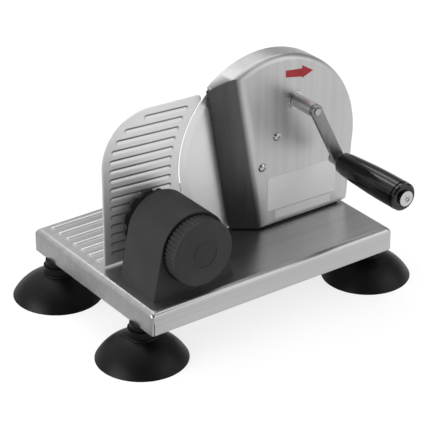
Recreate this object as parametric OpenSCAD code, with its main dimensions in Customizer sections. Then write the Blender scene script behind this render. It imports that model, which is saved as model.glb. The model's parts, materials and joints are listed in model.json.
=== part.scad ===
// Hand cranked food slicer: a round blade in a steel casing and a fluted stop plate, on a tray with feet.
// X runs along the tray's long side, -Y faces the person who turns the crank, and Z is up from the table.

/* [Tray] */
// Length of the tray along its long side
tray_w = 254; // [240:1:280]
// Depth of the tray from front to back
tray_d = 183; // [176:1:210]
// Height of the tray's folded sides
tray_h = 21; // [19:0.5:26]
// Thickness of the tray's steel sheet
tray_t = 1.2; // [0.8:0.1:1.6]
// Outside radius of the fold along the tray's top edges
tray_fold_r = 5; // [2:0.5:6]
// Width of the lip turned in under the tray
lip_w = 18; // [15:1:24]
// Number of beads pressed up on the feeding side of the tray
bead_count = 7; // [3:1:7]
// Distance from bead to bead
bead_pitch = 12; // [10:0.5:12]
// Height of a bead above the tray
bead_h = 1.5; // [0.8:0.1:2]
// Radius of a bead's round back
bead_r = 4.5; // [3.5:0.1:5]

/* [Feet] */
// Height of the tray's underside above the table
foot_h = 34; // [32:0.5:44]
// Radius of a suction cup at the table
cup_r = 39.7; // [32:0.1:44]
// Height of the suction cup's dome
cup_dome_h = 23; // [18:0.5:25]
// Depth of the hollow under a suction cup
cup_hollow_h = 13; // [8:0.5:14]
// Width of the flat rim that the cup stands on
cup_rim_w = 3.5; // [2:0.1:6]
// Radius of the foot's neck
neck_r = 12; // [10:0.5:15]
// Distance of a foot's axis from the tray's short side
foot_inset_x = 6.6; // [6.4:0.1:12]
// Distance of a foot's axis from the tray's long side
foot_inset_y = 26; // [20:0.5:36]
// Radius of the stud in a foot
stud_r = 2.5; // [2:0.1:3]

/* [Blade] */
// Radius of the blade
blade_r = 85; // [80:0.5:88]
// Thickness of the blade
blade_t = 1.5; // [1:0.1:2]
// Width of the ground bevel at the blade's edge
bevel_w = 7; // [3:0.5:12]
// Height of the blade's axis above the tray
blade_h = 69; // [67:0.5:74]
// Distance of the blade's axis from the tray's right side
blade_inset = 80.2; // [76:0.2:90]
// Radius of the blade's shaft
blade_shaft_r = 5; // [4:0.5:6]

/* [Gears] */
// Module of the gear pair
gear_m = 1.5; // [1.4:0.05:1.55]
// Teeth of the gear on the crank's shaft
crank_teeth = 44; // [36:2:44]
// Teeth of the pinion on the blade's shaft
blade_teeth = 24; // [20:2:26]
// Width of the gears
gear_w = 8; // [6:0.5:10]
// Direction from the blade's axis to the crank's axis
crank_dir = 69; // [60:1:80]

/* [Casing] */
// Thickness of the casing's steel sheet
casing_t = 1.2; // [0.8:0.1:1.5]
// Outside radius of the fold round the casing's face
casing_fold_r = 6; // [3:0.1:6.5]
// Outside radius of the fold along the foot of the casing's face
casing_foot_r = 4; // [3:0.5:8]
// How far the casing's rim stands out beyond the blade's edge
cover_gap = 4.5; // [3:0.5:8]
// Lean of the casing's left edge
casing_lean = 9.8; // [8:0.1:14]
// Width of the slanted deflector face, seen from the front
deflector_w = 23.5; // [16:0.5:26]
// Lean of the casing's right side
side_lean = 4.6; // [4:0.1:9]
// Radius of the casing's bottom right corner
corner_r = 12; // [6:0.5:14]
// Thickness of the gasket under the casing
gasket_t = 1.2; // [0.8:0.1:2]

/* [Crank] */
// Radius of the crank's shaft
crank_shaft_r = 4.5; // [4:0.1:5]
// Radius of the polished sleeve on the crank's shaft
sleeve_r = 6; // [5.6:0.1:7]
// Length of the sleeve
sleeve_l = 25; // [18:1:35]
// Distance from the crank's axis to the handle's axis
crank_throw = 61; // [45:0.5:75]
// Width of the crank's arm
arm_w = 10.8; // [10.4:0.2:16]
// Thickness of the crank's arm
arm_t = 4; // [3:0.5:6]
// Direction of the arm at rest, from the right side downwards
arm_dir = 63.4; // [0:0.2:90]
// Length of the handle's grip
grip_l = 80; // [72:1:110]
// Radius of the grip beside the arm
grip_r0 = 10.1; // [8.5:0.1:11]
// Radius of the grip at its outer end
grip_r1 = 12.7; // [11.8:0.1:15]
// Radius of the spindle that the grip turns on
spindle_r = 4; // [3.5:0.1:5]

/* [Stop plate] */
// Thickness of the stop plate
plate_t = 1.5; // [1.2:0.1:2]
// Height of the stop plate's upper edge above the tray
plate_top = 136.2; // [130:0.2:137]
// Clearance between the stop plate and the tray
plate_gap = 2; // [1:0.1:3]
// Distance of the stop plate's left edge from the tray's left side
plate_inset = 10.5; // [6:0.5:16]
// Radius of the stop plate's upper left corner
plate_corner_r = 44.8; // [36:0.2:50]
// Gap between the stop plate and the blade's edge
blade_gap = 1.8; // [1.2:0.1:3]
// Number of flutes
flute_count = 15; // [8:1:15]
// Distance from flute to flute
flute_pitch = 8.48; // [7.8:0.02:8.5]
// Width of a flute
flute_w = 4.6; // [3.5:0.1:5.5]
// Depth of a flute
flute_d = 1.8; // [1:0.1:2.4]
// Fall of the flutes towards the blade
flute_fall = 3.3; // [0:0.1:4]
// Fall of the plate's upper edge towards the blade
edge_fall = 2; // [0:0.1:3]
// Greatest slice thickness
travel = 13; // [8:0.5:18]

/* [Adjuster] */
// Distance of the dial's axis from the tray's left side
dial_inset = 51.6; // [50:0.2:60]
// Height of the dial's axis above the tray
dial_h = 39.4; // [36:0.2:44]
// How far the housing's round top stands out beyond the knob
hood_rim = 2.5; // [2:0.1:5]
// Half of the housing's width at the tray
housing_half_w = 40.4; // [38:0.1:46]
// Depth of the housing from front to back
housing_d = 49.5; // [46:0.5:60]
// Wall of the housing
housing_t = 3; // [2:0.1:4]
// Radius of the dial's knob
knob_r = 29.2; // [27:0.1:31]
// Height of the knob in front of the housing
knob_l = 14; // [10:0.5:18]
// Number of ribs round the knob
rib_count = 48; // [36:2:56]
// Radius of the dial's spindle
dial_spindle_r = 5; // [4:0.1:6]
// Radius of the guide rods
rod_r = 4; // [3:0.1:4.5]
// Radius of the carrier's rim
carrier_r = 26; // [25:0.1:28]
// Thickness of the carrier
carrier_t = 8; // [7:0.5:10]

/* [Hidden] */

$fn = 64;

// Clearances shared by the pieces that fit together
run_fit = 0.05;
seat_fit = 0.02;
face_gap = 0.4;
end_gap = 1;
round_slack = 0.1;
through = 1;
far = 400;

// Heights
tray_z = foot_h + tray_h;
tray_in_z = tray_z - tray_t;
lip_z = foot_h + tray_t;
base_z = tray_z + gasket_t;
blade_x = tray_w/2 - blade_inset;
blade_z = tray_z + blade_h;

// Stack of the drive from the blade's back face towards the front
blade_back_y = -4;
blade_front_y = blade_back_y - blade_t;
hub_t = 2.5;
hub_r = 20;
hub_pilot_r = 9;
hub_front_y = blade_front_y - hub_t;
gear_plate_t = 3.5;
gear_plate_back_y = hub_front_y - face_gap;
gear_plate_front_y = gear_plate_back_y - gear_plate_t;
bush_flange_t = 1.5;
gear_back_y = gear_plate_front_y - bush_flange_t - end_gap;
gear_front_y = gear_back_y - gear_w;
washer_t = 0.8;
bearing_back_y = gear_front_y - washer_t - face_gap/2;
bearing_t = 4.3;
casing_in_y = bearing_back_y - bearing_t;
casing_front_y = casing_in_y - casing_t;
casing_back_y = gear_plate_back_y + end_gap;

// Gear pair and crank's axis
crank_gap = gear_m*(crank_teeth + blade_teeth)/2;
crank_gear_r = gear_m*(crank_teeth/2 + 1);
pressure = 20;
backlash = 0.25;
crank_x = blade_x + crank_gap*cos(crank_dir);
crank_z = blade_z + crank_gap*sin(crank_dir);

// Round of the casing, set a little up and left of the blade's axis
cover_shift_x = -2;
cover_shift_z = 2;
cover_x = blade_x + cover_shift_x;
cover_z = blade_z + cover_shift_z;
gear_clear = 4;
cover_r = max(blade_r + cover_gap, crank_gap + crank_gear_r + gear_clear);

// Stop plate's outline
plate_back_y = blade_back_y;
plate_front_y = plate_back_y - plate_t;
plate_left = -tray_w/2 + plate_inset;
plate_bottom_z = tray_z + plate_gap;
plate_arc_x = plate_left + plate_corner_r;
plate_arc_z = tray_z + plate_top - plate_corner_r;
notch_r = blade_r + blade_gap;
tip_r = 4;
edge_normal = [sin(edge_fall), cos(edge_fall)];
edge_run = [cos(edge_fall), -sin(edge_fall)];
edge_start = [plate_arc_x, plate_arc_z] + plate_corner_r*edge_normal;
tip_from = edge_start - tip_r*edge_normal - [blade_x, blade_z];
tip_along = tip_from*edge_run;
tip_run = -tip_along - sqrt(tip_along*tip_along - tip_from*tip_from + pow(notch_r + tip_r, 2));
tip_at = [blade_x, blade_z] + tip_from + tip_run*edge_run;
toe_inset = 61;
plate_toe_x = blade_x - toe_inset;

// Deflector: its back edge stays clear of the stop plate's tip
deflector_clear = 3.9;
deflector_back_x = tip_at[0] + tip_r + deflector_clear + (tip_at[1] - base_z)*tan(casing_lean);
deflector_d = gear_plate_front_y - casing_front_y;
deflector_turn = atan2(deflector_w, deflector_d);
deflector_tilt = atan(tan(casing_lean)*cos(deflector_turn));

// Stack of the crank in front of the casing
flange_t = 2;
flange_r = 7.8;
bush_r = 6.3;
bush_front_y = casing_front_y - flange_t;
sleeve_back_y = bush_front_y - face_gap;
arm_back_y = sleeve_back_y - sleeve_l;
arm_front_y = arm_back_y - arm_t;
shaft_proud = 0.8;
shaft_tip_r = 3.1;
shaft_end_y = arm_front_y - shaft_proud;
grip_gap = 3.6;
grip_back_y = arm_front_y - grip_gap;
grip_front_y = grip_back_y - grip_l;
ring_l = 5;
ring_step = 0.3;
ring_r = grip_r1 - ring_step;
seat_gap = 0.3;
screw_seat_y = grip_front_y - seat_gap;
screw_head_t = 2.4;
screw_head_r = 6.8;
handle_x = crank_x + crank_throw*cos(arm_dir);
handle_z = crank_z - crank_throw*sin(arm_dir);
tail_t = 7;
tail_r = 5.2;
collar_r = 6.2;

// Adjuster
dial_x = -tray_w/2 + dial_inset;
dial_z = tray_z + dial_h;
carrier_front_y = plate_front_y - carrier_t;
housing_back_y = carrier_front_y - travel - end_gap;
housing_front_y = housing_back_y - housing_d;
front_wall = 6;
housing_in_front_y = housing_front_y + front_wall;
housing_in_back_y = housing_back_y - housing_t;
hood_r = knob_r + hood_rim;
recess_gap = 1.2;
recess_r = knob_r + recess_gap;
recess_d = 2.5;
knob_gap = 0.6;
knob_back_y = housing_front_y - knob_gap;
knob_front_y = knob_back_y - knob_l;
clip_t = 1.8;
dial_bush_r = dial_spindle_r + 3;
dial_clip_r = dial_spindle_r + 2;
rod_l = carrier_front_y - housing_in_front_y - clip_t - travel - 2*end_gap;
rod_dx = 15;
rod_dz = -12;
nut_r = 9;
nut_floor = 3;
nut_floor_y = carrier_front_y - nut_floor;
guide_wall = 2.5;
guide_r = rod_r + guide_wall;
guide_l = 5;
guide_rim = 1;
boss_w = 10;
boss_d = 12;
boss_h = 10;
boss_hole_r = 1.8;
boss_shift = 1;
housing_screw_dx = housing_half_w - housing_t - boss_w/2 - boss_shift;
housing_screw_ys = [housing_in_front_y + boss_d/2, housing_in_back_y - boss_d/2];

// Middle of the whole object from front to back: screw head at the front, cups at the back
front_end_y = screw_seat_y - screw_head_t;
back_end_y = max(tray_d/2, tray_d/2 - foot_inset_y + cup_r);
middle_y = (front_end_y + back_end_y)/2;

foot_x = tray_w/2 - foot_inset_x;
foot_y = tray_d/2 - foot_inset_y;
feet = [[-foot_x, -foot_y], [foot_x, -foot_y], [-foot_x, foot_y], [foot_x, foot_y]];

// Screws under the casing
base_screw_r = 2;
base_screw_y = (casing_front_y + casing_foot_r + gear_plate_front_y)/2;
base_screw_start = 2;
base_screw_pitch = 31;
base_screw_xs = [for (i = [0:2]) blade_x + base_screw_start + i*base_screw_pitch];

// Posts between the casing's face and the gear plate: two beside the crank's gear, two above the base
post_r = 4;
post_gap = 8;
post_dirs = [-23, 150];
low_post_hs = [15, 20];
low_post_gap = 4;
low_post_share = 0.76;
post_reach = crank_gear_r + post_r + post_gap;
posts = concat(
  [for (a = post_dirs) [crank_x, crank_z] + post_reach*[cos(a), sin(a)]],
  [[deflector_back_x + deflector_w + post_r + low_post_gap, base_z + low_post_hs[0]]],
  [[cover_x + low_post_share*cover_r, base_z + low_post_hs[1]]]);
post_screw_r = 1.6;

// Two domed screws hold the blade's bearing, from the blade's axis
bearing_screws = [[0, 17.4], [-15.5, -7.9]];
bearing_r = 24;
bearing_floor = 0.8;
bearing_wall_gap = 0.02;
bearing_screw_r = 2;
dome_r = 4.2;
dome_h = 2.4;

steel = [0.80, 0.81, 0.82];
bright = [0.88, 0.89, 0.90];
dark_steel = [0.55, 0.56, 0.58];
black = [0.10, 0.10, 0.11];
rubber = [0.07, 0.07, 0.08];
brass = [0.72, 0.60, 0.32];
nylon = [0.86, 0.84, 0.78];

// Moves the model so that the middle of its footprint is at the origin
module placed() translate([0, -middle_y, 0]) children();

// Stands a flat XZ shape up at depth y; extrusions then grow towards the front
module facing(y, x = 0, z = 0) translate([x, y, z]) rotate([90, 0, 0]) children();

// Round bar along Y from back_y towards the front
module bar(x, z, back_y, front_y, r) facing(back_y, x, z) cylinder(h = back_y - front_y, r = r);

// Slab of space between two depths
module slab(back_y, front_y) translate([-far/2, front_y, -far/2]) cube([far, back_y - front_y, 2*far]);

// Cross cut for a screw head of radius r, in the XZ plane
module cross_cut(r) {
  square([1.3*r, 0.28*r], center = true);
  square([0.28*r, 1.3*r], center = true);
}

// Tray: prisms along X and Y with rounded top corners, crossed, meet in mitred corners
module tray_profile(w, h, r) {
  translate([-w/2, 0]) square([w, h - r]);
  translate([-w/2 + r, 0]) square([w - 2*r, h]);
  for (s = [-1, 1]) translate([s*(w/2 - r), h - r]) circle(r);
}
module tray_form(w, d, h, r) {
  intersection() {
    translate([0, d/2, 0]) rotate([90, 0, 0]) linear_extrude(d) tray_profile(w, h, r);
    translate([-w/2, 0, 0]) rotate([90, 0, 90]) linear_extrude(w) tray_profile(d, h, r);
  }
}
module tray_beads() {
  bead_l = tray_w - 4*bead_r - 2*tray_fold_r;
  for (i = [0:bead_count - 1]) {
    bead_y = tray_d/2 - tray_fold_r - bead_r - i*bead_pitch;
    translate([0, bead_y, tray_z + bead_h - bead_r]) intersection() {
      union() {
        rotate([0, 90, 0]) cylinder(h = bead_l, r = bead_r, center = true);
        for (s = [-1, 1]) translate([s*bead_l/2, 0, 0]) sphere(bead_r);
      }
      translate([0, 0, bead_r - bead_h - tray_t/2 + far/2]) cube([far, far, far], center = true);
    }
  }
}
slot_end_gap = 6;
slot_side_gap = 1.85;
module blade_slot() {
  slot_half = sqrt(blade_r*blade_r - blade_h*blade_h) + slot_end_gap;
  slot_w = blade_t + 2*slot_side_gap;
  slot_y = (blade_front_y + blade_back_y)/2;
  translate([blade_x - slot_half, slot_y - slot_w/2, tray_in_z - through])
    cube([2*slot_half, slot_w, tray_t + 2*through]);
}
module tray_holes() {
  for (p = feet) translate([p[0], p[1], foot_h - through])
    cylinder(h = tray_t + 2*through, r = stud_r + seat_fit);
  for (x = base_screw_xs) translate([x, base_screw_y, tray_in_z - through])
    cylinder(h = tray_t + 2*through, r = base_screw_r + seat_fit);
  for (s = [-1, 1], y = housing_screw_ys) translate([dial_x + s*housing_screw_dx, y, tray_in_z - through])
    cylinder(h = tray_t + 2*through, r = boss_hole_r + seat_fit);
}
fold_slack = 0.2;
module tray() placed() color(steel) difference() {
  union() {
    difference() {
      translate([0, 0, foot_h]) tray_form(tray_w, tray_d, tray_h, tray_fold_r);
      translate([0, 0, lip_z])
        tray_form(tray_w - 2*tray_t, tray_d - 2*tray_t, tray_h - 2*tray_t, tray_fold_r - tray_t + fold_slack);
      translate([-tray_w/2 + lip_w, -tray_d/2 + lip_w, foot_h - through])
        cube([tray_w - 2*lip_w, tray_d - 2*lip_w, tray_t + 2*through]);
    }
    tray_beads();
  }
  blade_slot();
  tray_holes();
}

// Suction cup: a round dome over a shallower round hollow, with a ring and a stepped neck up to the tray
stud_floor = 3;
stud_low_z = cup_dome_h + stud_floor;
neck_step = 1.8;
neck_low_share = 0.55;
cup_ring_r = 1.4;
function cap_ball(rim, h) = (rim*rim + h*h)/(2*h);
module cup_profile() {
  dome_ball = cap_ball(cup_r, cup_dome_h);
  hollow_ball = cap_ball(cup_r - cup_rim_w, cup_hollow_h);
  neck_foot_z = sqrt(dome_ball*dome_ball - neck_r*neck_r) + cup_dome_h - dome_ball;
  neck_h = foot_h - cup_dome_h;
  difference() {
    union() {
      intersection() {
        translate([0, cup_dome_h - dome_ball]) circle(dome_ball, $fn = 128);
        square([cup_r, cup_dome_h]);
      }
      translate([neck_r, neck_foot_z]) circle(cup_ring_r);
      translate([0, neck_foot_z]) square([neck_r, cup_dome_h - neck_foot_z + neck_h*neck_low_share]);
      translate([0, cup_dome_h]) square([neck_r - neck_step, neck_h]);
    }
    translate([0, cup_hollow_h - hollow_ball]) circle(hollow_ball, $fn = 128);
    translate([0, stud_low_z]) square([stud_r + seat_fit, foot_h]);
    translate([-far, -far/2]) square([far, far]);
  }
}
module suction_cup(i) placed() color(rubber)
  translate([feet[i][0], feet[i][1], 0]) rotate_extrude($fn = 96) cup_profile();
module suction_cup_front_left() suction_cup(0);
module suction_cup_front_right() suction_cup(1);
module suction_cup_back_left() suction_cup(2);
module suction_cup_back_right() suction_cup(3);

// Foot fasteners
foot_washer_t = 1;
foot_nut_t = 4;
foot_nut_w = 2;
stud_proud = 1.5;
stud_top_z = lip_z + foot_washer_t + foot_nut_t + stud_proud;
module at_feet() for (p = feet) translate([p[0], p[1], 0]) children();
module foot_studs() placed() color(dark_steel) at_feet()
  translate([0, 0, stud_low_z]) cylinder(h = stud_top_z - stud_low_z, r = stud_r);
module foot_washers() placed() color(bright) at_feet() translate([0, 0, lip_z]) difference() {
  cylinder(h = foot_washer_t, r = stud_r + foot_nut_w);
  translate([0, 0, -through]) cylinder(h = foot_washer_t + 2*through, r = stud_r + seat_fit);
}
foot_nut_z = lip_z + foot_washer_t;
module foot_nuts() placed() color(dark_steel) at_feet() translate([0, 0, foot_nut_z]) difference() {
  cylinder(h = foot_nut_t, r = stud_r + foot_nut_w, $fn = 6);
  translate([0, 0, -through]) cylinder(h = foot_nut_t + 2*through, r = stud_r + seat_fit);
}

// Casing: a drum round the blade's axis and a block under it whose right side starts just inside the drum
seam_inset = 0.15;
left_step = casing_t/(cos(deflector_turn)*cos(deflector_tilt)) + round_slack;
module cover_drum(r, f, depth) {
  square([r, depth - f]);
  square([r - f, depth]);
  translate([r - f, depth - f]) circle(f);
}
module cover_block(r, f, depth) {
  translate([-r, -depth + f]) square([2*r, depth - f]);
  translate([-r, -depth]) square([2*r - f, depth]);
  translate([r - f, -depth + f]) circle(f);
}
module cover_corner(r, low_z, round_r, back_y, front_y) {
  mid_z = low_z + round_r;
  side_at_mid = cover_x + (r + (mid_z - cover_z)*sin(side_lean))/cos(side_lean);
  mid = [side_at_mid - round_r/cos(side_lean), mid_z];
  beside = mid + 2*round_r*[cos(side_lean), -sin(side_lean)];
  below = mid - [0, 2*round_r];
  facing(back_y + through) linear_extrude(back_y - front_y + 2*through) difference() {
    polygon([mid, beside, [beside[0], below[1]], below]);
    translate(mid) circle(round_r + round_slack);
  }
}
// Space above low_z with a round along its lower front edge
module cover_foot(f, low_z, back_y, front_y) translate([-far/2, 0, 0]) rotate([90, 0, 90]) linear_extrude(far) {
  translate([front_y, low_z + f]) square([back_y - front_y, far]);
  translate([front_y + f, low_z]) square([back_y - front_y - f, far]);
  translate([front_y + f, low_z + f]) circle(f);
}
module cover_form(inset, back_y, front_y) {
  r = cover_r - inset;
  f = max(casing_fold_r - inset, 0.5);
  depth = back_y - front_y;
  low_z = base_z + inset;
  difference() {
    intersection() {
      union() {
        facing(back_y, cover_x, cover_z) rotate_extrude($fn = 180) cover_drum(r, f, depth);
        translate([cover_x, back_y, cover_z]) rotate([0, side_lean, 0]) translate([0, 0, -1.3*cover_r])
          linear_extrude(1.3*cover_r) cover_block(r - seam_inset, f, depth);
      }
      cover_foot(max(casing_foot_r - inset, 0.5), low_z, back_y, front_y);
    }
    cover_corner(r - seam_inset, low_z, corner_r - inset, back_y, front_y);
  }
}
// Space to the right of the slanted deflector face
module deflector_side(inset) translate([deflector_back_x, gear_plate_front_y, base_z])
  rotate([0, 0, deflector_turn]) rotate([0, -deflector_tilt, 0]) translate([inset, -far/2, -far/2]) cube(far);
// Space to the left of the casing's back left edge
module left_side() translate([deflector_back_x, 0, base_z]) rotate([0, -casing_lean, 0])
  translate([-far, -far/2, -far/2]) cube(far);
module casing() placed() color(steel) difference() {
  intersection() {
    cover_form(0, casing_back_y, casing_front_y);
    deflector_side(0);
  }
  intersection() {
    cover_form(casing_t, casing_back_y + through, casing_in_y);
    deflector_side(casing_t);
  }
  intersection() {
    translate([left_step, 0, 0]) left_side();
    slab(casing_back_y + through, gear_plate_front_y);
  }
  bar(crank_x, crank_z, casing_back_y, casing_front_y - through, bush_r + seat_fit);
  for (p = bearing_screws)
    bar(blade_x + p[0], blade_z + p[1], casing_back_y, casing_front_y - through, bearing_screw_r + seat_fit);
  for (x = base_screw_xs) translate([x, base_screw_y, base_z - through])
    cylinder(h = casing_t + 2*through, r = base_screw_r + seat_fit);
}
blade_bush_r = blade_shaft_r + 3;
plate_slack = 0.2;
stub_h = 7;
stub_out = 1.6;
module gear_plate() placed() color(black) difference() {
  union() {
    difference() {
      intersection() {
        cover_form(casing_t + plate_slack, casing_back_y, casing_front_y);
        slab(gear_plate_back_y, gear_plate_front_y);
      }
      left_side();
    }
    stub_low_z = tip_at[1] - stub_h;
    stub_x = deflector_back_x - tan(casing_lean)*(stub_low_z + stub_h/2 - base_z) - stub_out;
    intersection() {
      translate([stub_x, gear_plate_front_y, stub_low_z]) cube([4*stub_out, gear_plate_t, stub_h]);
      cover_form(casing_t + plate_slack, casing_back_y, casing_front_y);
    }
  }
  bar(crank_x, crank_z, casing_back_y, gear_plate_front_y - through, bush_r + seat_fit);
  bar(blade_x, blade_z, casing_back_y, gear_plate_front_y - through, blade_bush_r + seat_fit);
  for (p = posts)
    bar(p[0], p[1], casing_back_y, gear_plate_front_y - through, post_screw_r + seat_fit);
}
gasket_inset = 1.8;
module casing_gasket() placed() color(black) difference() {
  side_low = cover_x + (cover_r + (base_z - cover_z)*sin(side_lean))/cos(side_lean) - corner_r;
  deflector_front_x = deflector_back_x + deflector_w;
  translate([0, 0, tray_z]) linear_extrude(gasket_t) polygon([
    [deflector_front_x + gasket_inset, casing_front_y + gasket_inset],
    [side_low, casing_front_y + gasket_inset], [side_low, casing_back_y],
    [deflector_back_x + gasket_inset, casing_back_y], [deflector_back_x + gasket_inset, gear_plate_front_y]
  ]);
  for (x = base_screw_xs) translate([x, base_screw_y, tray_z - through])
    cylinder(h = gasket_t + 2*through, r = base_screw_r + seat_fit);
}

// Domed screws through the casing's face into the blade's bearing
module casing_screws() placed() color(bright) for (p = bearing_screws)
  facing(casing_front_y, blade_x + p[0], blade_z + p[1]) {
    ball_r = cap_ball(dome_r, dome_h);
    difference() {
      intersection() {
        translate([0, 0, dome_h - ball_r]) sphere(ball_r);
        cylinder(h = dome_h, r = dome_r);
      }
      translate([0, 0, dome_h/2]) linear_extrude(dome_h) cross_cut(dome_r*0.7);
    }
    translate([0, 0, -casing_t - bearing_t + face_gap])
      cylinder(h = casing_t + bearing_t, r = bearing_screw_r);
  }
base_nut_t = 3;
base_nut_w = 2;
base_head_t = 2;
module base_screw(r, head_r, reach) {
  translate([0, 0, tray_in_z]) cylinder(h = reach - tray_in_z, r = r);
  translate([0, 0, tray_in_z - base_head_t]) cylinder(h = base_head_t, r = head_r);
}
module casing_base_screws() placed() color(bright) for (x = base_screw_xs)
  translate([x, base_screw_y, 0]) base_screw(base_screw_r, 2*base_screw_r, base_z + casing_t + base_nut_t);
module casing_base_nuts() placed() color(dark_steel) for (x = base_screw_xs)
  translate([x, base_screw_y, base_z + casing_t]) difference() {
    cylinder(h = base_nut_t, r = base_screw_r + base_nut_w, $fn = 6);
    translate([0, 0, -through]) cylinder(h = base_nut_t + 2*through, r = base_screw_r + seat_fit);
  }

// Posts that carry the gear plate, and their countersunk screws
post_screw_l = 9;
module plate_posts() placed() color(dark_steel) for (p = posts) difference() {
  bar(p[0], p[1], gear_plate_front_y, casing_in_y, post_r);
  bar(p[0], p[1], gear_plate_front_y + through, gear_plate_back_y - post_screw_l - face_gap,
    post_screw_r + seat_fit);
}
module plate_screws() placed() color(bright) for (p = posts)
  bar(p[0], p[1], gear_plate_back_y, gear_plate_back_y - post_screw_l, post_screw_r);

// Bearings of the two shafts
// The flange gets a flat where the slanted wall of the casing comes nearer than its clearance
module blade_bearing() placed() color(dark_steel) difference() {
  intersection() {
    bar(blade_x, blade_z, bearing_back_y, casing_in_y, bearing_r);
    deflector_side(casing_t + bearing_wall_gap);
  }
  bar(blade_x, blade_z, bearing_back_y + through, casing_in_y + bearing_floor, blade_shaft_r + run_fit);
  for (p = bearing_screws)
    bar(blade_x + p[0], blade_z + p[1], bearing_back_y + through, casing_in_y - through,
      bearing_screw_r + seat_fit);
}
bush_flange_w = 1.5;
module rear_bush(x, z, shaft_r, r) difference() {
  union() {
    bar(x, z, gear_plate_back_y, gear_plate_front_y, r);
    bar(x, z, gear_plate_front_y, gear_plate_front_y - bush_flange_t, r + bush_flange_w);
  }
  bar(x, z, gear_plate_back_y + through, gear_plate_front_y - bush_flange_t - through, shaft_r + run_fit);
}
module blade_bush() placed() color(brass) rear_bush(blade_x, blade_z, blade_shaft_r, blade_bush_r);
module crank_rear_bush() placed() color(brass) rear_bush(crank_x, crank_z, crank_shaft_r, bush_r);
module crank_bush() placed() color(bright) difference() {
  union() {
    bar(crank_x, crank_z, casing_front_y, bush_front_y, flange_r);
    bar(crank_x, crank_z, bearing_back_y, casing_front_y, bush_r);
  }
  bar(crank_x, crank_z, bearing_back_y + through, bush_front_y - through, crank_shaft_r + run_fit);
}

// Blade: a disc with a bevel ground on its front side
edge_t = 0.2;
blade_screw_pcd_r = 14;
blade_screw_r = 1.5;
module at_blade_screws() for (i = [0:2])
  translate([blade_x, 0, blade_z]) rotate([0, 120*i + 30, 0]) translate([blade_screw_pcd_r, 0, 0]) children();
module blade_hole(back_y, front_y, r) bar(0, 0, back_y, front_y, r);
module blade() placed() color(bright) difference() {
  facing(blade_back_y, blade_x, blade_z) rotate_extrude($fn = 180) polygon([
    [hub_pilot_r + seat_fit, 0], [blade_r, 0], [blade_r, edge_t], [blade_r - bevel_w, blade_t],
    [hub_pilot_r + seat_fit, blade_t]
  ]);
  at_blade_screws() blade_hole(blade_back_y + through, blade_front_y - through, blade_screw_r + seat_fit);
}
module blade_hub() placed() color(dark_steel) difference() {
  union() {
    bar(blade_x, blade_z, blade_front_y, hub_front_y, hub_r);
    bar(blade_x, blade_z, blade_back_y, blade_front_y, hub_pilot_r);
  }
  bar(blade_x, blade_z, blade_back_y + through, hub_front_y - through, blade_shaft_r + seat_fit);
  at_blade_screws() blade_hole(blade_back_y + through, hub_front_y - through, blade_screw_r + seat_fit);
}
module blade_screws() placed() color(dark_steel)
  at_blade_screws() blade_hole(blade_back_y, hub_front_y + face_gap/2, blade_screw_r);
module blade_shaft() placed() color(dark_steel) bar(blade_x, blade_z, blade_back_y,
  casing_in_y + bearing_floor + face_gap, blade_shaft_r);
washer_w = 3;
module shaft_washer(x, z, shaft_r) difference() {
  bar(x, z, gear_front_y, gear_front_y - washer_t, shaft_r + washer_w);
  bar(x, z, gear_front_y + through, gear_front_y - washer_t - through, shaft_r + seat_fit);
}
module blade_washer() placed() color(nylon) shaft_washer(blade_x, blade_z, blade_shaft_r);
module crank_washer() placed() color(nylon) shaft_washer(crank_x, crank_z, crank_shaft_r);

// Involute gear: half the tooth's angle at radius rho shrinks outwards by the involute function
function involute(angle) = tan(angle)*180/PI - angle;
function half_tooth(rho, teeth) = let (r = gear_m*teeth/2, base_r = r*cos(pressure))
  90/teeth - backlash/(2*r)*180/PI/2 + involute(pressure) - involute(acos(min(1, base_r/rho)));
function gear_outline(teeth) = let (
    r = gear_m*teeth/2, tip = r + gear_m, root = r - 1.25*gear_m, low = max(root, r*cos(pressure)),
    radii = [low, (low + r)/2, r, (r + tip)/2, tip], steps = len(radii) - 1)
  [for (i = [0:teeth - 1], side = [-1, 1], k = [0:steps + 1])
    let (n = side < 0 ? k - 1 : steps - k, rho = n < 0 ? root : radii[n],
         a = 360*i/teeth + side*half_tooth(n < 0 ? low : radii[n], teeth))
    rho*[cos(a), sin(a)]];
module gear_at(x, z, teeth, turn, bore_r) facing(gear_back_y, x, z) linear_extrude(gear_w) difference() {
  rotate(turn) polygon(gear_outline(teeth));
  circle(bore_r + seat_fit);
}
module blade_pinion() placed() color(dark_steel)
  gear_at(blade_x, blade_z, blade_teeth, crank_dir + 180/blade_teeth, blade_shaft_r);
module crank_gear() placed() color(nylon)
  gear_at(crank_x, crank_z, crank_teeth, crank_dir + 180, crank_shaft_r);

// Crank
module crank_shaft() placed() color(dark_steel) {
  bar(crank_x, crank_z, gear_plate_back_y - face_gap, arm_back_y, crank_shaft_r);
  bar(crank_x, crank_z, gear_plate_back_y - face_gap, shaft_end_y, shaft_tip_r);
}
module crank_sleeve() placed() color(bright) difference() {
  bar(crank_x, crank_z, sleeve_back_y, arm_back_y, sleeve_r);
  bar(crank_x, crank_z, sleeve_back_y + through, arm_back_y - through, crank_shaft_r + seat_fit);
}
arm_swell = 0.4;
module arm_outline() difference() {
  union() {
    circle(arm_w/2 + arm_swell);
    translate([0, -arm_w/2]) square([crank_throw, arm_w]);
    translate([crank_throw, 0]) circle(arm_w/2);
  }
  circle(shaft_tip_r + seat_fit);
  translate([crank_throw, 0]) circle(spindle_r + seat_fit);
}
module crank_arm() placed() color(steel) facing(arm_back_y, crank_x, crank_z)
  linear_extrude(arm_t) rotate(-arm_dir) arm_outline();
handle_screw_r = 2.2;
handle_screw_l = 12;
screw_dish_r = 3.6;
screw_dish_d = 0.6;
screw_cross_d = 1.5;
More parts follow.
